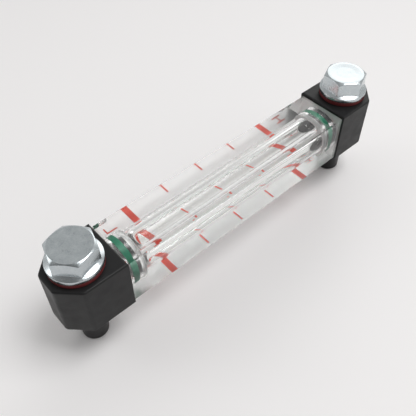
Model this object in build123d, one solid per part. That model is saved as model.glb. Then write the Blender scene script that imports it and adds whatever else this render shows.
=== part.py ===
from build123d import *
import math
import os

# Tank level gauge.  A clear square sight bar is held between two moulded end blocks.
# A hollow flange bolt through each block clamps it to the tank wall and lets the
# liquid into the bar's bore.  As stored, the gauge stands on the protective caps
# pushed over the bolts' threads.
#
# X runs along the bar towards the upper (high level) end, Z points away from the
# tank wall, and the origin is on the floor under the middle of the gauge.
# All sizes are in millimetres and all angles in degrees.

# The gauge as a whole
bolt_spacing = 150.0          # between the two bolt axes

# End blocks
block_width = 26.0
block_height = 26.0           # from the tank face to the front face
block_outer_reach = 13.0      # from the bolt axis to the block's outer end
block_inner_reach = 14.0      # from the bolt axis to the end of the bar
block_chamfer = 8.0           # across each outer upright corner
block_corner_radius = 2.5     # softens the chamfers' upright edges
block_edge_radius = 0.8       # softens the front and back outlines
passage_radius = 3.0          # liquid passage from the bolt hole to the bar

# Sight bar
bar_size = 24.0               # side of the square section
bar_inset = 0.5               # back of the bar, in from the blocks' tank face
bar_edge_chamfer = 0.3
sight_bore_radius = 5.75
socket_radius = 8.0           # wider hole at each end, for the block's spigot
socket_depth = 9.0

# Spigots and their O-rings
spigot_clearance = 0.15       # radial, inside the socket
spigot_end_gap = 2.1          # between the spigot's end and the socket's floor
ring_width = 2.8              # along the bar, as squeezed
ring_thickness = 2.2          # radial, as squeezed
ring_corner_radius = 0.9
ring_offset = 4.0             # from the block's inner face to the ring's middle
groove_side_gap = 0.2         # each side of the ring, in its groove

# Flange bolts
bolt_radius = 5.0
bolt_hole_clearance = 0.5     # radial, in the block
bolt_tip_chamfer = 1.0
flange_radius = 10.9
flange_rim = 1.8              # height of the flange's upright rim
flange_rim_chamfer = 0.4
flange_slope = 25.0           # of the flange's upper side
flange_root = 0.6             # how far the slope runs on inside the hexagon's flats
hex_across_flats = 17.6
hex_top_radius = 8.4          # flat circle inside the chamfered top
hex_chamfer_angle = 30.0
head_height = 9.3             # from the washer to the top of the head
lower_head_turn = 13.5        # how far each hex is turned from the bar's line
upper_head_turn = 22.5
bolt_bore_radius = 2.5        # up the middle, from the tip
cross_hole_radius = 2.0       # through the bolt, level with the bar's bore
bolt_bore_overrun = 1.0       # of the middle bore, past the cross hole

# Washers under the flanges
washer_thickness = 2.0
washer_inset = 0.1            # washer's rim, in from the flange's rim
washer_clearance = 0.1        # radial, round the bolt
washer_edge_chamfer = 0.2

# O-rings between the blocks and the tank wall
back_ring_wire = 2.6          # diameter of the cord
back_ring_proud = 0.7         # beyond the tank face
back_ring_room = 0.4          # radial, from the ring to the recess's wall

# Caps over the threads
cap_length = 19.2
cap_wall = 0.65
cap_floor = 1.5
cap_fit = 0.05                # radial, round the thread
cap_gap = 0.8                 # between the cap and the tank face
cap_foot_radius = 0.8
cap_mouth_chamfer = 0.2

# Print on the back of the bar, read through it from the front
ink_thickness = 0.15
mark_pitch = 20.0             # between neighbouring marks
band_width = 3.0
band_length = 23.0
tick_width = 0.8
tick_length = 15.0
letter_height = 5.3           # along the bar
letter_l_width = 3.2          # across the bar
letter_h_width = 4.4
letter_stroke = 0.6
letter_end_margin = 7.5       # from the bar's end to the letter
letter_side_margin = 3.0      # from the bar's side to the letter

# Places worked out from the sizes above
tank_face_z = cap_length + cap_gap
block_front_z = tank_face_z + block_height
bar_back_z = tank_face_z + bar_inset
axis_z = bar_back_z + bar_size / 2
bar_length = bolt_spacing - 2 * block_inner_reach
spigot_radius = socket_radius - spigot_clearance
spigot_length = socket_depth - spigot_end_gap
groove_radius = socket_radius - ring_thickness
seat_z = block_front_z + washer_thickness
ring_centre_radius = bolt_radius + back_ring_wire / 2
recess_radius = ring_centre_radius + back_ring_wire / 2 + back_ring_room
recess_depth = back_ring_wire - back_ring_proud
letter_offset = bar_length / 2 - letter_end_margin - letter_height / 2
letter_side = bar_size / 2 - letter_side_margin


def turned(points):
    """Solid turned about Z from a closed outline of (radius, height) points."""
    outline = Polyline(*[(radius, 0, height) for radius, height in points], close=True)
    return revolve(make_face(outline), Axis.Z)


def along_bar(radius, start, end):
    """Cylinder on the bar's axis, between two places along X."""
    rod = Cylinder(radius, end - start, align=(Align.CENTER, Align.CENTER, Align.MIN))
    return Pos(start, 0, axis_z) * Rot(0, 90, 0) * rod


def upright(radius, start, end):
    """Cylinder on the bolt's axis, between two heights."""
    rod = Cylinder(radius, end - start, align=(Align.CENTER, Align.CENTER, Align.MIN))
    return Pos(0, 0, start) * rod


def at_end(shape, side):
    """Move a piece from its bolt's own frame, with the bar towards -X, to its end.

    side is +1 for the upper end and -1 for the lower one.
    """
    turn = 0 if side > 0 else 180
    return Pos(side * bolt_spacing / 2, 0, 0) * Rot(0, 0, turn) * shape


def sight_bar():
    """Square clear bar with its long bore and a socket for a spigot at each end."""
    middle = Pos(0, 0, axis_z) * Box(bar_length, bar_size, bar_size)
    bar = chamfer(middle.edges().filter_by(Axis.X), bar_edge_chamfer)
    half = bar_length / 2
    bar -= along_bar(sight_bore_radius, -half, half)
    bar -= along_bar(socket_radius, half - socket_depth, half)
    bar -= along_bar(socket_radius, -half, socket_depth - half)
    return bar


def block_body():
    """Outside of an end block: an upright prism with two chamfered, softened corners."""
    half = block_width / 2
    side = half - block_chamfer
    shoulder = block_outer_reach - block_chamfer
    outline = Polyline(
        (-block_inner_reach, -half),
        (shoulder, -half),
        (block_outer_reach, -side),
        (block_outer_reach, side),
        (shoulder, half),
        (-block_inner_reach, half),
        close=True,
    )
    body = extrude(make_face(outline), block_height)
    corners = body.edges().filter_by(Axis.Z).sort_by(Axis.X)[2:]
    body = fillet(corners, block_corner_radius)
    rims = body.faces().sort_by(Axis.Z)[0].edges() + body.faces().sort_by(Axis.Z)[-1].edges()
    body = fillet(rims, block_edge_radius)
    return Pos(0, 0, tank_face_z) * body


def block_spigot():
    """Round spigot that enters the bar's socket, with the groove for its O-ring."""
    root = -block_inner_reach
    half_groove = ring_width / 2 + groove_side_gap
    spigot = along_bar(spigot_radius, root - spigot_length, root + block_edge_radius)
    near = root - ring_offset + half_groove
    far = root - ring_offset - half_groove
    groove = along_bar(spigot_radius + 1, far, near) - along_bar(groove_radius, far, near)
    return spigot - groove


def end_block():
    """Moulded end block with its spigot, liquid passage, bolt hole and seal recess."""
    block = block_body() + block_spigot()
    block -= along_bar(passage_radius, -block_inner_reach - spigot_length, 0)
    hole_radius = bolt_radius + bolt_hole_clearance
    block -= upright(hole_radius, tank_face_z, block_front_z)
    block -= upright(recess_radius, tank_face_z, tank_face_z + recess_depth)
    return block


def hex_head(turn):
    """Hexagon of the bolt's head, chamfered round its top, turned by an angle."""
    corner = hex_across_flats / math.sqrt(3)
    top = seat_z + head_height
    fall = (corner - hex_top_radius) * math.tan(math.radians(hex_chamfer_angle))
    prism = extrude(Rot(0, 0, turn) * RegularPolygon(corner, 6), head_height)
    envelope = turned([
        (0, seat_z),
        (corner, seat_z),
        (corner, top - fall),
        (hex_top_radius, top),
        (0, top),
    ])
    return Pos(0, 0, seat_z) * prism & envelope


def flange():
    """Round flange under the hexagon, with an upright rim and a sloping top."""
    inner = hex_across_flats / 2 - flange_root
    outer = flange_radius - flange_rim_chamfer
    rim_top = seat_z + flange_rim
    rise = (outer - inner) * math.tan(math.radians(flange_slope))
    return turned([
        (0, seat_z),
        (outer, seat_z),
        (flange_radius, seat_z + flange_rim_chamfer),
        (flange_radius, rim_top - flange_rim_chamfer),
        (outer, rim_top),
        (inner, rim_top + rise),
        (0, rim_top + rise),
    ])


def flange_bolt(turn):
    """Hollow bolt: hexagon, flange and shank, drilled up its middle and across."""
    shank = turned([
        (0, cap_floor),
        (bolt_radius - bolt_tip_chamfer, cap_floor),
        (bolt_radius, cap_floor + bolt_tip_chamfer),
        (bolt_radius, seat_z),
        (0, seat_z),
    ])
    bolt = hex_head(turn) + flange() + shank
    bore_end = axis_z + cross_hole_radius + bolt_bore_overrun
    bolt -= upright(bolt_bore_radius, cap_floor, bore_end)
    bolt -= along_bar(cross_hole_radius, -flange_radius, flange_radius)
    return bolt


def front_washer():
    """Flat sealing washer between the bolt's flange and the block's front."""
    inner = bolt_radius + washer_clearance
    outer = flange_radius - washer_inset
    return turned([
        (inner, block_front_z),
        (outer - washer_edge_chamfer, block_front_z),
        (outer, block_front_z + washer_edge_chamfer),
        (outer, seat_z - washer_edge_chamfer),
        (outer - washer_edge_chamfer, seat_z),
        (inner, seat_z),
    ])


def spigot_ring():
    """O-ring squeezed between the spigot's groove and the bar's socket."""
    profile = Pos(0, 0, groove_radius + ring_thickness / 2) * Rot(90, 0, 0) * RectangleRounded(
        ring_width, ring_thickness, ring_corner_radius)
    ring = revolve(profile, Axis.X)
    return Pos(-block_inner_reach - ring_offset, 0, axis_z) * ring


def back_ring():
    """Round-section O-ring in the block's back, standing proud to meet the tank wall."""
    height = tank_face_z + recess_depth - back_ring_wire / 2
    return Pos(0, 0, height) * Torus(ring_centre_radius, back_ring_wire / 2)


def thread_cap():
    """Closed sleeve over the bolt's thread, with a rounded foot."""
    inner = bolt_radius + cap_fit
    outer = inner + cap_wall
    cap = upright(outer, 0, cap_length)
    cap = fillet(cap.edges().sort_by(Axis.Z)[0], cap_foot_radius)
    cap = chamfer(cap.edges().sort_by(Axis.Z)[-1], cap_mouth_chamfer)
    return cap - upright(inner, cap_floor, cap_length)


def printed(width, length, x, y=0.0):
    """Rectangle of ink on the bar's back: width along the bar, length across it."""
    return Pos(x, y, bar_back_z - ink_thickness / 2) * Box(width, length, ink_thickness)


def letter_l():
    """Letter L at the low end, upright when the upper end is at the top."""
    stem_y = letter_side - letter_stroke / 2
    foot_x = -letter_offset - (letter_height - letter_stroke) / 2
    stem = printed(letter_height, letter_stroke, -letter_offset, stem_y)
    foot = printed(letter_stroke, letter_l_width, foot_x, letter_side - letter_l_width / 2)
    return stem + foot


def letter_h():
    """Letter H at the high end, upright when the upper end is at the top."""
    left_y = letter_side - letter_stroke / 2
    right_y = letter_side - letter_h_width + letter_stroke / 2
    left = printed(letter_height, letter_stroke, letter_offset, left_y)
    right = printed(letter_height, letter_stroke, letter_offset, right_y)
    bar = printed(letter_stroke, letter_h_width, letter_offset, letter_side - letter_h_width / 2)
    return left + right + bar


nodes = {
    "sight_bar": sight_bar(),
    "lower_bolt": at_end(flange_bolt(lower_head_turn), -1),
    "upper_bolt": at_end(flange_bolt(upper_head_turn), 1),
    "low_band": printed(band_width, band_length, -2 * mark_pitch),
    "high_band": printed(band_width, band_length, 2 * mark_pitch),
    "lower_tick": printed(tick_width, tick_length, -mark_pitch),
    "middle_tick": printed(tick_width, tick_length, 0),
    "upper_tick": printed(tick_width, tick_length, mark_pitch),
    "letter_l": letter_l(),
    "letter_h": letter_h(),
}
for name, make in [
    ("block", end_block),
    ("washer", front_washer),
    ("spigot_ring", spigot_ring),
    ("back_ring", back_ring),
    ("cap", thread_cap),
]:
    nodes["lower_" + name] = at_end(make(), -1)
    nodes["upper_" + name] = at_end(make(), 1)

os.makedirs("parts", exist_ok=True)
for name, shape in nodes.items():
    export_step(shape, "parts/" + name + ".step")
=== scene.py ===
"""Dresses a hydraulic tank level gauge: clear sight bar, moulded end blocks, plated bolts,
seals and printed scale, around the fixed frame of the part.  Lengths are in metres."""

import math

import bmesh
import bpy
from mathutils import Matrix, Vector


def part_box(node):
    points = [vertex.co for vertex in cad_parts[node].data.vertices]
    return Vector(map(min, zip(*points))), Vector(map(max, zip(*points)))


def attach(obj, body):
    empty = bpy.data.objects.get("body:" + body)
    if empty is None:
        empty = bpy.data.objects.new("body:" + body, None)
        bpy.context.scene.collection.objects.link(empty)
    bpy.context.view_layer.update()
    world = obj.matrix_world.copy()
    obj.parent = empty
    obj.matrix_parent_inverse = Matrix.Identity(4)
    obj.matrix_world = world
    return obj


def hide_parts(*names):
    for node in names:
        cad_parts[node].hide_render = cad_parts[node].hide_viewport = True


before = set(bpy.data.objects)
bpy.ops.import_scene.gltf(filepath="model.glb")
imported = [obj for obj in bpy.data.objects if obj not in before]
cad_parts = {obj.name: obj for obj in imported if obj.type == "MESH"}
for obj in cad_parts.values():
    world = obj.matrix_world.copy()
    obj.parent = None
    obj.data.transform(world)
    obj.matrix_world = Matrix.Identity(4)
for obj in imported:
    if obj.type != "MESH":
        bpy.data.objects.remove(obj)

bl_info = {
    "name": "Tank level gauge",
    "version": (1, 0, 0),
    "blender": (4, 5, 0),
    "location": "View3D > Sidebar > Level gauge",
    "description": "Builds the looks of a hydraulic tank level gauge",
    "category": "Object",
}

MM = 0.001
BODY = "root"
ENDS = ("lower", "upper")
POLISHED, MACHINED, SATIN, REAMED, MILLED = range(5)  # the sight bar's material slots
ACRYLIC_IOR = 1.49
SIDE_SHADE = 0.3  # share of the light that falls through the bar's upright sides
BACKDROP = 0.8    # grey that the camera sees past the table
BOUNCES = 32      # enough for light to cross every wall of the sight bar
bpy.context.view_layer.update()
BAR_LOW, BAR_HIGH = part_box("sight_bar")


def centre(node):
    """Middle of a node's box."""
    low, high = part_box(node)
    return (low + high) / 2


# ---------------------------------------------------------------- colours and sizes

def linear(code):
    """Linear RGB of an sRGB hex code."""
    values = [int(code[i:i + 2], 16) / 255 for i in (1, 3, 5)]
    return tuple(v / 12.92 if v <= 0.04045 else ((v + 0.055) / 1.055) ** 2.4 for v in values)


def colour(name, description, code):
    """A colour that a user may change."""
    return bpy.props.FloatVectorProperty(
        name=name, description=description, subtype="COLOR", size=3, min=0, max=1,
        default=linear(code))


def length(name, description, default):
    """A length that a user may change, in metres."""
    return bpy.props.FloatProperty(
        name=name, description=description, default=default, min=0, unit="LENGTH",
        subtype="DISTANCE", precision=5)


def angle(name, description, degrees):
    """An angle that a user may change."""
    return bpy.props.FloatProperty(
        name=name, description=description, default=math.radians(degrees), subtype="ANGLE")


class GaugeBarSettings(bpy.types.PropertyGroup):
    """Sizes of the clear sight bar and its sockets."""
    bore_radius: length("Bore radius", "Radius of the long bore", 5.75 * MM)
    socket_radius: length("Socket radius", "Radius of the wider hole at each end", 8 * MM)
    socket_depth: length("Socket depth", "Depth of the wider hole at each end", 9 * MM)
    chamfer: length("Edge chamfer", "Polished flat along each long edge", 0.3 * MM)
    end_gap: length("End gap", "Air between the bar's end and the block", 0.02 * MM)
    machined: bpy.props.FloatProperty(
        name="Machined roughness", description="Roughness of the turned ends",
        default=0.38, min=0, max=1)
    clarity: bpy.props.FloatProperty(
        name="Machined clarity", description="Share of the light that turned faces let through",
        default=0.68, min=0, max=1)
    reamed: bpy.props.FloatProperty(
        name="Socket roughness", description="Roughness of the reamed socket walls",
        default=0.2, min=0, max=1)
    satin: bpy.props.FloatProperty(
        name="Satin roughness", description="Roughness of the printed back face",
        default=0.33, min=0, max=1)
    tint: colour("Acrylic", "Colour of the cast acrylic", "#fbfcfb")


class GaugeBoltSettings(bpy.types.PropertyGroup):
    """Sizes and colours of the flange bolts."""
    flats: length("Across flats", "Width of the hexagon", 17.6 * MM)
    top_radius: length("Top radius", "Flat circle inside the chamfered top", 8.4 * MM)
    head_height: length("Head height", "From the washer to the top", 9.3 * MM)
    flange_radius: length("Flange radius", "Radius of the round flange", 10.9 * MM)
    rim_height: length("Rim height", "Height of the flange's upright rim", 1.8 * MM)
    shank_radius: length("Shank radius", "Radius of the threaded shank", 5 * MM)
    bore_radius: length("Bore radius", "Radius of the hole up the shank", 2.5 * MM)
    chamfer_angle: angle("Chamfer angle", "Slope of the hexagon's chamfered top", 30)
    flange_slope: angle("Flange slope", "Slope of the flange's upper side", 25)
    lower_turn: angle("Lower turn", "How far the lower hexagon is turned", 13.5)
    upper_turn: angle("Upper turn", "How far the upper hexagon is turned", 22.5)
    light: colour("Zinc, light", "Lighter crystals of the zinc plate", "#d3d8da")
    dark: colour("Zinc, dark", "Duller patches of the zinc plate", "#b3bcc0")


class GaugeSealSettings(bpy.types.PropertyGroup):
    """Sizes and colours of the seals."""
    ring_width: length("Ring width", "Squeezed O-ring, along the bar", 2.8 * MM)
    ring_thickness: length("Ring thickness", "Squeezed O-ring, radially", 2.2 * MM)
    ring_corner: length("Ring corner", "Rounding of the squeezed O-ring", 0.2 * MM)
    contact: length("Contact", "How far a wetted seal shows into the bar", 0.03 * MM)
    green: colour("Green rubber", "O-rings on the spigots", "#1d7f60")
    red: colour("Red rubber", "Washers under the flanges", "#641a1c")
    black: colour("Black rubber", "O-rings at the tank wall", "#1a1a1b")


class GaugePrintSettings(bpy.types.PropertyGroup):
    """Sizes and colour of the scale printed on the bar's back."""
    pitch: length("Pitch", "Between neighbouring marks", 20 * MM)
    band_width: length("Band width", "Thick marks, along the bar", 3 * MM)
    band_length: length("Band length", "Thick marks, across the bar", 23 * MM)
    tick_width: length("Tick width", "Thin marks, along the bar", 0.8 * MM)
    tick_length: length("Tick length", "Thin marks, across the bar", 15 * MM)
    stroke: length("Stroke", "Width of the letters' strokes", 0.6 * MM)
    bite: length("Bite", "How far the ink shows into the acrylic", 0.02 * MM)
    ink: colour("Ink", "Red screen ink", "#ff431f")


class GaugeMouldSettings(bpy.types.PropertyGroup):
    """Colours of the moulded plastic pieces."""
    nylon: colour("Nylon", "End blocks", "#121213")
    cap: colour("Cap", "Caps over the threads", "#151516")


# ---------------------------------------------------------------- mesh helpers

def finish_piece(obj, slot, *nodes):
    """Ride the piece on the gauge's body and hide the nodes it stands for."""
    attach(obj, BODY)
    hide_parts(*nodes)


def new_object(name, mesh, material):
    """Link an object with one material to the scene."""
    obj = bpy.data.objects.new(name, mesh)
    mesh.materials.append(material)
    bpy.context.scene.collection.objects.link(obj)
    return obj


def mesh_from_bmesh(name, bm):
    """Mesh of a bmesh, with its faces turned outwards."""
    bmesh.ops.recalc_face_normals(bm, faces=bm.faces)
    mesh = bpy.data.meshes.new(name)
    bm.to_mesh(mesh)
    bm.free()
    return mesh


def bridge(bm, first, second, smooth, finish=0):
    """Band of quads between two loops of vertices with the same count."""
    count = len(first)
    for i in range(count):
        j = (i + 1) % count
        face = bm.faces.new((first[i], first[j], second[j], second[i]))
        face.smooth = smooth
        face.material_index = finish


def softened(points, steps=4):
    """Points of an outline whose corners are rounded.

    Each point is (x, z, radius); a corner with no radius stays one point.
    """
    out = []
    for i, (x, z, radius) in enumerate(points):
        here = Vector((x, z))
        if not radius:
            out.append(here)
            continue
        back = Vector(points[i - 1][:2]) - here
        ahead = Vector(points[(i + 1) % len(points)][:2]) - here
        half = back.angle(ahead) / 2
        back.normalize()
        ahead.normalize()
        reach = radius / math.tan(half)
        middle = here + (back + ahead).normalized() * radius / math.sin(half)
        start = here + back * reach - middle
        turn = start.angle_signed(here + ahead * reach - middle)
        for k in range(steps + 1):
            out.append(middle + Matrix.Rotation(-turn * k / steps, 2) @ start)
    return out


def turned_mesh(name, angles, outline_at, place):
    """Closed smooth mesh turned about Z.

    outline_at gives the outline's (radius, height) points at an angle, from pole to pole.
    """
    bm = bmesh.new()
    rows = [
        [place + Vector((r * math.cos(a), r * math.sin(a), z)) for r, z in outline_at(a)]
        for a in angles
    ]
    top = bm.verts.new(rows[0][0])
    bottom = bm.verts.new(rows[0][-1])
    grid = [[bm.verts.new(co) for co in row[1:-1]] for row in rows]
    for i, row in enumerate(grid):
        following = grid[(i + 1) % len(grid)]
        bm.faces.new((top, row[0], following[0])).smooth = True
        bm.faces.new((bottom, following[-1], row[-1])).smooth = True
        for k in range(len(row) - 1):
            quad = (row[k], row[k + 1], following[k + 1], following[k])
            bm.faces.new(quad).smooth = True
    return mesh_from_bmesh(name, bm)


# ---------------------------------------------------------------- materials

def node(tree, kind, inputs=None, **settings):
    """Add a shader or geometry node with its settings, and set or link its inputs."""
    made = tree.nodes.new(kind)
    for key, value in settings.items():
        setattr(made, key, value)
    for key, value in (inputs or {}).items():
        if isinstance(value, bpy.types.NodeSocket):
            tree.links.new(value, made.inputs[key])
        else:
            made.inputs[key].default_value = value
    return made


def new_material(name):
    """Empty node material and its tree."""
    material = bpy.data.materials.new(name)
    material.use_nodes = True
    material.node_tree.nodes.clear()
    return material, material.node_tree


def maths(tree, operation, *values):
    """Result of a math node on numbers or sockets."""
    made = node(tree, "ShaderNodeMath", dict(enumerate(values)), operation=operation)
    return made.outputs["Value"]


def mapped(tree, value, source, target):
    """Map a value from one range to another, held at the ends."""
    return node(tree, "ShaderNodeMapRange", {
        "Value": value, "From Min": source[0], "From Max": source[1],
        "To Min": target[0], "To Max": target[1],
    }).outputs["Result"]


def part_of_normal(tree, axis):
    """One axis of the surface's own normal."""
    shape = node(tree, "ShaderNodeNewGeometry")
    return node(tree, "ShaderNodeSeparateXYZ", {"Vector": shape.outputs["Normal"]}).outputs[axis]


def noise(tree, size, detail=3.0):
    """Noise over the object's own coordinates, with features of a real size in metres."""
    place = node(tree, "ShaderNodeTexCoord")
    return node(tree, "ShaderNodeTexNoise", {
        "Vector": place.outputs["Object"], "Scale": 1 / size, "Detail": detail, "Roughness": 0.6,
    }).outputs["Fac"]


def ranged(tree, value, low, high):
    """Map a noise value, which is mostly 0.3 to 0.7, to a range."""
    return mapped(tree, value, (0.3, 0.7), (low, high))


def blended(tree, factor, first, second):
    """Mix two colours by a factor."""
    mixed = node(tree, "ShaderNodeMix", {"Factor": factor}, data_type="RGBA")
    mixed.inputs["A"].default_value = (*first, 1)
    mixed.inputs["B"].default_value = (*second, 1)
    return mixed.outputs["Result"]


def bump(tree, height, distance, strength, normal=None):
    """Bump of a real height in metres."""
    inputs = {"Height": height, "Distance": distance, "Strength": strength}
    if normal:
        inputs["Normal"] = normal
    return node(tree, "ShaderNodeBump", inputs).outputs["Normal"]


def surface(tree, inputs):
    """Principled shader wired to the material's output."""
    shader = node(tree, "ShaderNodeBsdfPrincipled", inputs)
    node(tree, "ShaderNodeOutputMaterial", {"Surface": shader.outputs["BSDF"]})


def darker(rgb, share):
    """A colour scaled towards black."""
    return tuple(c * share for c in rgb)


def let_through(tree, shader, side_shade, other_shade):
    """Let lamps and bounced light pass a clear shader unbent.

    Faces that look along Y let the share side_shade of it through, the others other_shade.
    """
    sideways = maths(tree, "ABSOLUTE", part_of_normal(tree, "Y"))
    shade = mapped(tree, sideways, (0.6, 0.9), (other_shade, side_shade))
    passed = node(tree, "ShaderNodeBsdfTransparent", {"Color": shade})
    path = node(tree, "ShaderNodeLightPath")
    for ray in ("Is Shadow Ray", "Is Diffuse Ray"):
        shader = node(tree, "ShaderNodeMixShader", {
            0: path.outputs[ray], 1: shader.outputs[0], 2: passed.outputs["BSDF"]})
    return shader


def acrylic(name, tint, roughness, clarity, shade=1.0):
    """Cast acrylic of one finish, clear where polished and milky where turned.

    clarity is the share of the seen light that passes, shade that of the light that falls through.
    """
    material, tree = new_material(name)
    clear = node(tree, "ShaderNodeBsdfPrincipled", {
        "Base Color": (*tint, 1),
        "Roughness": roughness,
        "IOR": ACRYLIC_IOR,
        "Transmission Weight": clarity,
    })
    lit = let_through(tree, clear, SIDE_SHADE, shade)
    node(tree, "ShaderNodeOutputMaterial", {"Surface": lit.outputs["Shader"]})
    return material


def moulded_nylon(name, rgb, roughness, grain):
    """Injection moulded nylon: near black, satin, with the fine grain of a spark-eroded mould."""
    material, tree = new_material(name)
    broad = noise(tree, 6 * MM)
    fine = noise(tree, grain, detail=2.0)
    surface(tree, {
        "Base Color": blended(tree, broad, darker(rgb, 0.85), darker(rgb, 1.2)),
        "Roughness": ranged(tree, broad, roughness - 0.06, roughness + 0.06),
        "Specular IOR Level": 0.35,
        "Normal": bump(tree, fine, distance=0.04 * MM, strength=0.35),
    })
    return material


def zinc_plate(bolt):
    """Bright zinc plate on forged steel: silvery, mottled by crystals, softer on the forged top."""
    material, tree = new_material("zinc_plate")
    patches = noise(tree, 2.6 * MM, detail=6.0)
    crystals = noise(tree, 0.5 * MM)
    mottle = node(tree, "ShaderNodeMix", {"Factor": 0.6, "A": patches, "B": crystals})
    shade = ranged(tree, mottle.outputs["Result"], 0.0, 1.0)
    top = mapped(tree, part_of_normal(tree, "Z"), (0.95, 0.995), (0.0, 1.0))
    top_extra = 0.08
    forged = bump(tree, patches, distance=0.05 * MM, strength=0.25)
    surface(tree, {
        "Base Color": blended(tree, shade, bolt.dark, bolt.light),
        "Metallic": 1.0,
        "Roughness": maths(
            tree, "MULTIPLY_ADD", top, top_extra, ranged(tree, patches, 0.17, 0.30)),
        "Normal": bump(tree, crystals, 0.02 * MM, 0.2, normal=forged),
    })
    return material


def seal_rubber(name, rgb, roughness):
    """Nitrile rubber: dull, slightly uneven, with a soft sheen on moulded faces."""
    material, tree = new_material(name)
    broad = noise(tree, 3 * MM)
    fine = noise(tree, 0.3 * MM, detail=2.0)
    surface(tree, {
        "Base Color": blended(tree, broad, darker(rgb, 0.8), darker(rgb, 1.15)),
        "Roughness": ranged(tree, broad, roughness - 0.08, roughness + 0.08),
        "Normal": bump(tree, fine, distance=0.02 * MM, strength=0.3),
    })
    return material


def screen_ink(rgb):
    """Screen-printed enamel ink: flat and opaque, a little uneven in density."""
    material, tree = new_material("screen_ink")
    density = noise(tree, 1.2 * MM, detail=4.0)
    surface(tree, {
        "Base Color": blended(tree, density, darker(rgb, 0.86), rgb),
        "Roughness": ranged(tree, density, 0.4, 0.55),
    })
    return material


# ---------------------------------------------------------------- pieces

def ring_of(bm, x, radius, axis, steps):
    """Loop round a hole in the bar at one place along it."""
    loop = []
    for i in range(steps):
        a = 2 * math.pi * i / steps
        across, up = radius * math.cos(a), radius * math.sin(a)
        loop.append(bm.verts.new((x, axis.y + across, axis.z + up)))
    return loop


def square_of(bm, x, half, cut, axis):
    """Loop round the outside of the bar, with a chamfer at each corner."""
    flat = half - cut
    corners = [
        (half, flat), (flat, half), (-flat, half), (-half, flat),
        (-half, -flat), (-flat, -half), (flat, -half), (half, -flat),
    ]
    return [bm.verts.new((x, axis.y + across, axis.z + up)) for across, up in corners]


BACK_CORNERS = (5, 6)  # the two vertices of square_of's loop that bound the bar's back face


def fill_between(bm, outer, inner, finish):
    """Flat end face between the bar's outline and its socket."""
    edges = []
    for loop in (outer, inner):
        for i, vert in enumerate(loop):
            pair = (vert, loop[(i + 1) % len(loop)])
            edges.append(bm.edges.get(pair) or bm.edges.new(pair))
    filled = bmesh.ops.triangle_fill(bm, edges=edges, use_beauty=True)
    for face in filled["geom"]:
        if isinstance(face, bmesh.types.BMFace):
            face.material_index = finish


def make_bar(settings, finishes, steps=480, stride=4 * MM):
    """The clear square bar with its bore and sockets, as one closed mesh.

    steps go round the bore; stride is the longest quad along it.
    """
    half = (BAR_HIGH.y - BAR_LOW.y) / 2
    axis = (BAR_LOW + BAR_HIGH) / 2
    end = BAR_HIGH.x - settings.end_gap
    floor = BAR_HIGH.x - settings.socket_depth
    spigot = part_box("upper_block")[0].x
    bm = bmesh.new()
    near, far = [square_of(bm, x, half, settings.chamfer, axis) for x in (-end, end)]
    bridge(bm, near, far, False)
    walls = [
        (-end, -spigot, settings.socket_radius, REAMED),
        (-spigot, -floor, settings.socket_radius, MACHINED),
        (-floor, floor, settings.bore_radius, POLISHED),
        (floor, spigot, settings.socket_radius, MACHINED),
        (spigot, end, settings.socket_radius, REAMED),
    ]
    last, last_radius = None, None
    for start, stop, radius, finish in walls:
        spans = max(1, round((stop - start) / stride))
        first = last if radius == last_radius else ring_of(bm, start, radius, axis, steps)
        rings = [first] + [
            ring_of(bm, start + (stop - start) * k / spans, radius, axis, steps)
            for k in range(1, spans + 1)
        ]
        for k in range(spans):
            bridge(bm, rings[k], rings[k + 1], True, finish)
        if last is None:
            fill_between(bm, near, first, MACHINED)
        elif first is not last:
            bridge(bm, last, first, False, MILLED)
        last, last_radius = rings[-1], radius
    fill_between(bm, far, last, MACHINED)
    one, other = BACK_CORNERS
    for face in near[one].link_faces:
        if near[other] in face.verts and far[other] in face.verts:
            face.material_index = SATIN
    bar = new_object("sight_bar_clear", mesh_from_bmesh("sight_bar_clear", bm), finishes[0])
    for finish in finishes[1:]:
        bar.data.materials.append(finish)
    return bar


SIXTH = math.pi / 3  # of a turn: the angle between a hexagon's corners


def corner_centre(flats, corner_radius):
    """Distance from the axis to the centre of a rounded hexagon's corner."""
    return (flats / 2 - corner_radius) / math.cos(SIXTH / 2)


def corner_spread(flats, corner_radius):
    """Angle from a rounded hexagon's corner to where its flat begins."""
    return math.atan2(
        corner_radius * math.sin(SIXTH / 2),
        corner_centre(flats, corner_radius) + corner_radius * math.cos(SIXTH / 2))


def hex_angles(flats, corner_radius, turn, corner_steps=6, flat_steps=12):
    """Angles round a hexagon with rounded corners, closer together at the corners."""
    soft = corner_spread(flats, corner_radius)
    out = []
    for k in range(6):
        corner = turn + k * SIXTH
        for i in range(corner_steps + 1):
            out.append(corner - soft + 2 * soft * i / corner_steps)
        gap = SIXTH - 2 * soft
        for i in range(1, flat_steps):
            out.append(corner + soft + gap * i / flat_steps)
    return out


def hex_reach(a, flats, corner_radius, turn):
    """Distance from the axis to a rounded hexagon's side at an angle."""
    from_corner = (a - turn + SIXTH / 2) % SIXTH - SIXTH / 2
    if abs(from_corner) < corner_spread(flats, corner_radius):
        distance = corner_centre(flats, corner_radius)
        across = distance * math.sin(from_corner)
        return distance * math.cos(from_corner) + math.sqrt(corner_radius ** 2 - across ** 2)
    return flats / 2 / math.cos(SIXTH / 2 - abs(from_corner))


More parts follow.
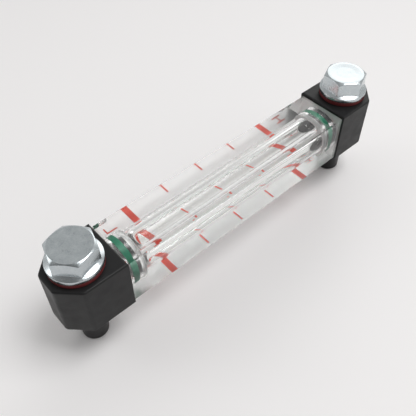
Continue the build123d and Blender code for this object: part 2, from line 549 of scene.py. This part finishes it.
def make_bolt(end, turn, bolt, material):
    """Forged flange bolt with softened edges, a shallow dish in its top and a bored shank."""
    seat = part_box(end + "_washer")[1].z
    place = Vector((centre(end + "_washer").x, 0, seat))
    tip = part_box(end + "_bolt")[0].z - seat
    corner_radius = 0.5 * MM
    dish = 0.12 * MM
    dish_floor, dish_rim = 0.55 * bolt.top_radius, 0.86 * bolt.top_radius
    under = 0.4 * MM
    tip_chamfer = 1.0 * MM
    bore_end = centre("sight_bar").z - seat

    def outline_at(a):
        side = hex_reach(a, bolt.flats, corner_radius, turn)
        top = bolt.head_height
        shoulder = top - (side - bolt.top_radius) * math.tan(bolt.chamfer_angle)
        slope = math.tan(bolt.flange_slope)
        foot = bolt.rim_height + (bolt.flange_radius - side) * slope
        return softened([
            (0, top - dish, 0),
            (dish_floor, top - dish, 1.5 * MM),
            (dish_rim, top, 0.8 * MM),
            (bolt.top_radius, top, 0.25 * MM),
            (side, shoulder, 0.28 * MM),
            (side, foot, 0.35 * MM),
            (bolt.flange_radius, bolt.rim_height, 0.3 * MM),
            (bolt.flange_radius, 0, under / 2),
            (bolt.flange_radius - under, 0, 0),
            (bolt.shank_radius, 0, 0),
            (bolt.shank_radius, tip + tip_chamfer, 0),
            (bolt.shank_radius - tip_chamfer, tip, 0),
            (bolt.bore_radius, tip, 0),
            (bolt.bore_radius, bore_end, 0),
            (0, bore_end, 0),
        ])

    angles = hex_angles(bolt.flats, corner_radius, turn)
    name = end + "_bolt_plated"
    return new_object(name, turned_mesh(name, angles, outline_at, place), material)


def make_spigot_ring(end, seal, socket_radius, material, steps=144):
    """Green O-ring squeezed into its groove, wetting the wall of the bar's socket."""
    middle = centre(end + "_spigot_ring")
    outer = socket_radius + seal.contact
    inner = socket_radius - seal.ring_thickness
    half = seal.ring_width / 2
    corners = [(-half, inner), (half, inner), (half, outer), (-half, outer)]
    profile = softened([(*corner, seal.ring_corner) for corner in corners], steps=6)
    bm = bmesh.new()
    loops = []
    for i in range(steps):
        a = 2 * math.pi * i / steps
        loops.append([
            bm.verts.new(middle + Vector((along, r * math.cos(a), r * math.sin(a))))
            for along, r in profile
        ])
    for i in range(steps):
        bridge(bm, loops[i], loops[(i + 1) % steps], True)
    name = end + "_spigot_ring_green"
    return new_object(name, mesh_from_bmesh(name, bm), material)


def mark_tree(material):
    """Geometry nodes: a row of like printed marks, centred on the gauge's middle."""
    tree = bpy.data.node_groups.new("printed_marks", "GeometryNodeTree")
    tree.interface.new_socket("Geometry", in_out="OUTPUT", socket_type="NodeSocketGeometry")
    tree.interface.new_socket("Count", in_out="INPUT", socket_type="NodeSocketInt")
    for name in ("Pitch", "Width", "Length", "Thickness", "Height"):
        tree.interface.new_socket(name, in_out="INPUT", socket_type="NodeSocketFloat")
    given = node(tree, "NodeGroupInput").outputs
    gaps = maths(tree, "SUBTRACT", given["Count"], 1.0)
    span = maths(tree, "MULTIPLY", gaps, given["Pitch"])
    first = maths(tree, "MULTIPLY", span, -0.5)
    start = node(tree, "ShaderNodeCombineXYZ", {"X": first, "Z": given["Height"]})
    step = node(tree, "ShaderNodeCombineXYZ", {"X": given["Pitch"]})
    row = node(tree, "GeometryNodeMeshLine", {
        "Count": given["Count"], "Start Location": start.outputs[0], "Offset": step.outputs[0]})
    size = node(tree, "ShaderNodeCombineXYZ", {
        "X": given["Width"], "Y": given["Length"], "Z": given["Thickness"]})
    mark = node(tree, "GeometryNodeMeshCube", {"Size": size.outputs[0]})
    placed = node(tree, "GeometryNodeInstanceOnPoints", {
        "Points": row.outputs["Mesh"], "Instance": mark.outputs["Mesh"]})
    real = node(tree, "GeometryNodeRealizeInstances", {"Geometry": placed.outputs[0]})
    inked = node(tree, "GeometryNodeSetMaterial", {
        "Geometry": real.outputs[0], "Material": material})
    node(tree, "NodeGroupOutput", {0: inked.outputs[0]})
    return tree


def make_marks(name, tree, material, values):
    """Plain mesh of a row of printed marks, worked out by the geometry nodes."""
    carrier = bpy.data.objects.new(name + "_carrier", bpy.data.meshes.new(name))
    bpy.context.scene.collection.objects.link(carrier)
    modifier = carrier.modifiers.new("marks", "NODES")
    modifier.node_group = tree
    for socket in tree.interface.items_tree:
        if socket.in_out == "INPUT":
            modifier[socket.identifier] = values[socket.name]
    bpy.context.view_layer.update()
    shown = carrier.evaluated_get(bpy.context.evaluated_depsgraph_get())
    mesh = bpy.data.meshes.new_from_object(shown)
    bpy.data.objects.remove(carrier)
    mesh.name = name
    mesh.materials.clear()
    return new_object(name, mesh, material)


def make_letter(name, node_name, strokes, thickness, bite, material):
    """Printed letter of rectangular strokes inside its node's box.

    strokes gives each stroke's (x low, x high, y low, y high) for the box's two corners.
    """
    low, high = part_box(node_name)
    bm = bmesh.new()
    for x0, x1, y0, y1 in strokes(low, high):
        size = Vector((x1 - x0, y1 - y0, thickness + bite))
        middle = Vector(((x0 + x1) / 2, (y0 + y1) / 2, high.z - thickness / 2 + bite / 2))
        bmesh.ops.create_cube(bm, size=1, matrix=Matrix.LocRotScale(middle, None, size))
    return new_object(name, mesh_from_bmesh(name, bm), material)


# ---------------------------------------------------------------- operators

class GaugeOperator:
    """What the gauge's operators share."""
    bl_options = {"REGISTER", "UNDO"}

    @staticmethod
    def settings(context):
        return context.scene.level_gauge


class GAUGE_OT_sight_bar(GaugeOperator, bpy.types.Operator):
    """Build the clear acrylic sight bar"""
    bl_idname = "gauge.sight_bar"
    bl_label = "Sight bar"

    def execute(self, context):
        bar = self.settings(context).bar
        polished = acrylic("polished_acrylic", bar.tint, roughness=0.0, clarity=1.0)
        machined = acrylic("machined_acrylic", bar.tint, bar.machined, bar.clarity)
        satin = acrylic("satin_acrylic", bar.tint, bar.satin, clarity=0.9, shade=0.68)
        reamed = acrylic("reamed_acrylic", bar.tint, bar.reamed, clarity=0.95)
        milled = acrylic("milled_acrylic", bar.tint, roughness=0.45, clarity=0.15)
        piece = make_bar(bar, (polished, machined, satin, reamed, milled))
        finish_piece(piece, "acrylic", "sight_bar")
        return {"FINISHED"}


class GAUGE_OT_blocks(GaugeOperator, bpy.types.Operator):
    """Finish the moulded end blocks"""
    bl_idname = "gauge.blocks"
    bl_label = "End blocks"

    def execute(self, context):
        nylon = self.settings(context).mould.nylon
        material = moulded_nylon("moulded_nylon", nylon, roughness=0.48, grain=0.35 * MM)
        for end in ENDS:
            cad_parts[end + "_block"].material_slots[0].material = material
        return {"FINISHED"}


class GAUGE_OT_caps(GaugeOperator, bpy.types.Operator):
    """Finish the caps over the threads"""
    bl_idname = "gauge.caps"
    bl_label = "Thread caps"

    def execute(self, context):
        cap = self.settings(context).mould.cap
        material = moulded_nylon("moulded_cap", cap, roughness=0.4, grain=0.6 * MM)
        for end in ENDS:
            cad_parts[end + "_cap"].material_slots[0].material = material
        return {"FINISHED"}


class GAUGE_OT_bolts(GaugeOperator, bpy.types.Operator):
    """Build the zinc plated flange bolts"""
    bl_idname = "gauge.bolts"
    bl_label = "Flange bolts"

    def execute(self, context):
        bolt = self.settings(context).bolt
        material = zinc_plate(bolt)
        for end, turn in (("lower", bolt.lower_turn), ("upper", bolt.upper_turn)):
            piece = make_bolt(end, turn, bolt, material)
            finish_piece(piece, "zinc", end + "_bolt")
        return {"FINISHED"}


class GAUGE_OT_seals(GaugeOperator, bpy.types.Operator):
    """Build the green O-rings and finish the washers and the O-rings at the wall"""
    bl_idname = "gauge.seals"
    bl_label = "Seals"

    def execute(self, context):
        settings = self.settings(context)
        seal = settings.seal
        green = seal_rubber("green_nitrile", seal.green, roughness=0.45)
        red = seal_rubber("red_nitrile", seal.red, roughness=0.6)
        black = seal_rubber("black_nitrile", seal.black, roughness=0.5)
        for end in ENDS:
            piece = make_spigot_ring(end, seal, settings.bar.socket_radius, green)
            finish_piece(piece, "seal_green", end + "_spigot_ring")
            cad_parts[end + "_washer"].material_slots[0].material = red
            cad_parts[end + "_back_ring"].material_slots[0].material = black
        return {"FINISHED"}


class GAUGE_OT_scale(GaugeOperator, bpy.types.Operator):
    """Print the level marks and letters on the bar's back"""
    bl_idname = "gauge.scale"
    bl_label = "Printed scale"

    def execute(self, context):
        ink = self.settings(context).ink
        material = screen_ink(ink.ink)
        tree = mark_tree(material)
        low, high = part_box("middle_tick")
        thickness = high.z - low.z
        shared = {
            "Thickness": thickness + ink.bite,
            "Height": high.z - thickness / 2 + ink.bite / 2,
        }
        bands = make_marks("level_bands", tree, material, {
            "Count": 2, "Pitch": 4 * ink.pitch, "Width": ink.band_width,
            "Length": ink.band_length, **shared})
        finish_piece(bands, "ink_red", "low_band", "high_band")
        ticks = make_marks("level_ticks", tree, material, {
            "Count": 3, "Pitch": ink.pitch, "Width": ink.tick_width,
            "Length": ink.tick_length, **shared})
        finish_piece(ticks, "ink_red", "lower_tick", "middle_tick", "upper_tick")
        stroke = ink.stroke

        # The letters read along Y, turned a quarter from the bar's length.
        def strokes_l(low, high):
            stem = (low.x, high.x, high.y - stroke, high.y)
            foot = (low.x, low.x + stroke, low.y, high.y - stroke)
            return stem, foot

        def strokes_h(low, high):
            left = (low.x, high.x, high.y - stroke, high.y)
            right = (low.x, high.x, low.y, low.y + stroke)
            middle = (low.x + high.x) / 2
            bar = (middle - stroke / 2, middle + stroke / 2, low.y + stroke, high.y - stroke)
            return left, right, bar

        for letter, strokes in (("l", strokes_l), ("h", strokes_h)):
            printed = "letter_" + letter
            piece = make_letter(
                "level_" + printed, printed, strokes, thickness, ink.bite, material)
            finish_piece(piece, "ink_red", printed)
        return {"FINISHED"}


class GAUGE_OT_stage(GaugeOperator, bpy.types.Operator):
    """Set the pale floor, the soft light and the camera"""
    bl_idname = "gauge.stage"
    bl_label = "Stage"

    def execute(self, context):
        make_floor()
        make_world(context.scene)
        make_lamps()
        make_camera(context.scene)
        context.scene.view_settings.view_transform = "Standard"
        for limit in (
            "max_bounces", "transmission_bounces", "glossy_bounces", "transparent_max_bounces",
        ):
            setattr(context.scene.cycles, limit, BOUNCES)
        return {"FINISHED"}


def make_floor():
    """Pale matt table top under the gauge."""
    half = 3.0  # half of the table's width
    bm = bmesh.new()
    corners = [(-half, -half), (half, -half), (half, half), (-half, half)]
    bm.faces.new([bm.verts.new((x, y, 0)) for x, y in corners])
    material, tree = new_material("pale_table")
    surface(tree, {"Base Color": (*linear("#f9f7f7"), 1), "Roughness": 0.85})
    new_object("table", mesh_from_bmesh("table", bm), material)


def towards(tree, direction, aim):
    """Cosine between the direction looked in and the one aimed at."""
    return node(tree, "ShaderNodeVectorMath", {
        0: direction, 1: Vector(aim).normalized()}, operation="DOT_PRODUCT").outputs["Value"]


def make_world(scene):
    """Grey room light, dimmer overhead and behind the camera, with a window's glow beyond.

    The camera itself sees an even grey instead.
    """
    world = bpy.data.worlds.new("room")
    scene.world = world
    world.use_nodes = True
    tree = world.node_tree
    tree.nodes.clear()
    direction = node(tree, "ShaderNodeTexCoord").outputs["Generated"]
    height = node(tree, "ShaderNodeSeparateXYZ", {"Vector": direction}).outputs["Z"]
    level = mapped(tree, height, (0.0, 1.0), (0.72, 0.46))
    unlit = mapped(tree, towards(tree, direction, (-0.8, -0.4, 0.45)), (0.3, 0.95), (1.0, 0.3))
    walls = maths(tree, "MULTIPLY", level, unlit)
    window = mapped(tree, towards(tree, direction, (0.8, 0.45, 0.42)), (0.9, 1.0), (0.0, 1.5))
    total = maths(tree, "ADD", walls, maths(tree, "POWER", window, 2.0))
    path = node(tree, "ShaderNodeLightPath")
    seen = node(tree, "ShaderNodeMix", {
        "Factor": path.outputs["Is Camera Ray"], "A": total, "B": BACKDROP})
    background = node(tree, "ShaderNodeBackground", {
        "Color": (*linear("#fcfcfb"), 1), "Strength": seen.outputs["Result"]})
    node(tree, "ShaderNodeOutputWorld", {"Surface": background.outputs["Background"]})


def make_lamps():
    """Two soft boxes: a large one nearly overhead, a weaker one low beyond the low end.

    Each has its power in watts, its width and depth, and its place; both aim at the gauge.
    """
    target = Vector((0, 0, 0.03))
    for name, power, width, depth, place in (
        ("overhead_box", 5.1, 0.5, 0.5, (0.26, -0.28, 1.0)),
        ("low_box", 0.5, 0.25, 0.22, (-0.55, 0.53, 0.57)),
    ):
        data = bpy.data.lights.new(name, "AREA")
        data.shape = "RECTANGLE"
        data.size = width
        data.size_y = depth
        data.energy = power
        lamp = bpy.data.objects.new(name, data)
        lamp.location = place
        lamp.rotation_euler = (target - lamp.location).to_track_quat("-Z", "Y").to_euler()
        bpy.context.scene.collection.objects.link(lamp)


def make_camera(scene):
    """Camera above the low end, looking along and down at the gauge."""
    data = bpy.data.cameras.new("camera")
    data.sensor_width = 36
    data.lens = 47.29
    place = (-0.1156, -0.118, 0.2069)
    heading, tilt, roll = math.radians(41.5), math.radians(48.67), math.radians(-0.41)
    turn = (
        Matrix.Rotation(-heading, 4, "Z")
        @ Matrix.Rotation(math.pi / 2 - tilt, 4, "X")
        @ Matrix.Rotation(roll, 4, "Z")
    )
    camera = bpy.data.objects.new("camera", data)
    camera.matrix_world = Matrix.Translation(place) @ turn
    scene.collection.objects.link(camera)
    scene.camera = camera


# ---------------------------------------------------------------- add-on

class GaugeSettings(bpy.types.PropertyGroup):
    """All sizes and colours of the level gauge."""
    bar: bpy.props.PointerProperty(type=GaugeBarSettings, name="Bar", description="Sight bar")
    bolt: bpy.props.PointerProperty(
        type=GaugeBoltSettings, name="Bolts", description="Flange bolts")
    seal: bpy.props.PointerProperty(type=GaugeSealSettings, name="Seals", description="Seals")
    ink: bpy.props.PointerProperty(
        type=GaugePrintSettings, name="Print", description="Printed scale")
    mould: bpy.props.PointerProperty(
        type=GaugeMouldSettings, name="Mouldings", description="Moulded plastic pieces")


OPERATORS = (
    GAUGE_OT_stage,
    GAUGE_OT_sight_bar,
    GAUGE_OT_blocks,
    GAUGE_OT_caps,
    GAUGE_OT_bolts,
    GAUGE_OT_seals,
    GAUGE_OT_scale,
)


class GAUGE_PT_panel(bpy.types.Panel):
    """Lists the gauge's pieces in the sidebar"""
    bl_idname = "GAUGE_PT_panel"
    bl_label = "Level gauge"
    bl_space_type = "VIEW_3D"
    bl_region_type = "UI"
    bl_category = "Level gauge"

    def draw(self, context):
        for operator in OPERATORS:
            self.layout.operator(operator.bl_idname)


CLASSES = (
    GaugeBarSettings,
    GaugeBoltSettings,
    GaugeSealSettings,
    GaugePrintSettings,
    GaugeMouldSettings,
    GaugeSettings,
    *OPERATORS,
    GAUGE_PT_panel,
)


def register():
    for cls in CLASSES:
        bpy.utils.register_class(cls)
    bpy.types.Scene.level_gauge = bpy.props.PointerProperty(type=GaugeSettings)


def unregister():
    del bpy.types.Scene.level_gauge
    for cls in reversed(CLASSES):
        bpy.utils.unregister_class(cls)


def main():
    """Build the whole gauge."""
    register()
    for operator in OPERATORS:
        group, name = operator.bl_idname.split(".")
        getattr(getattr(bpy.ops, group), name)()


if __name__ == "__main__":
    main()
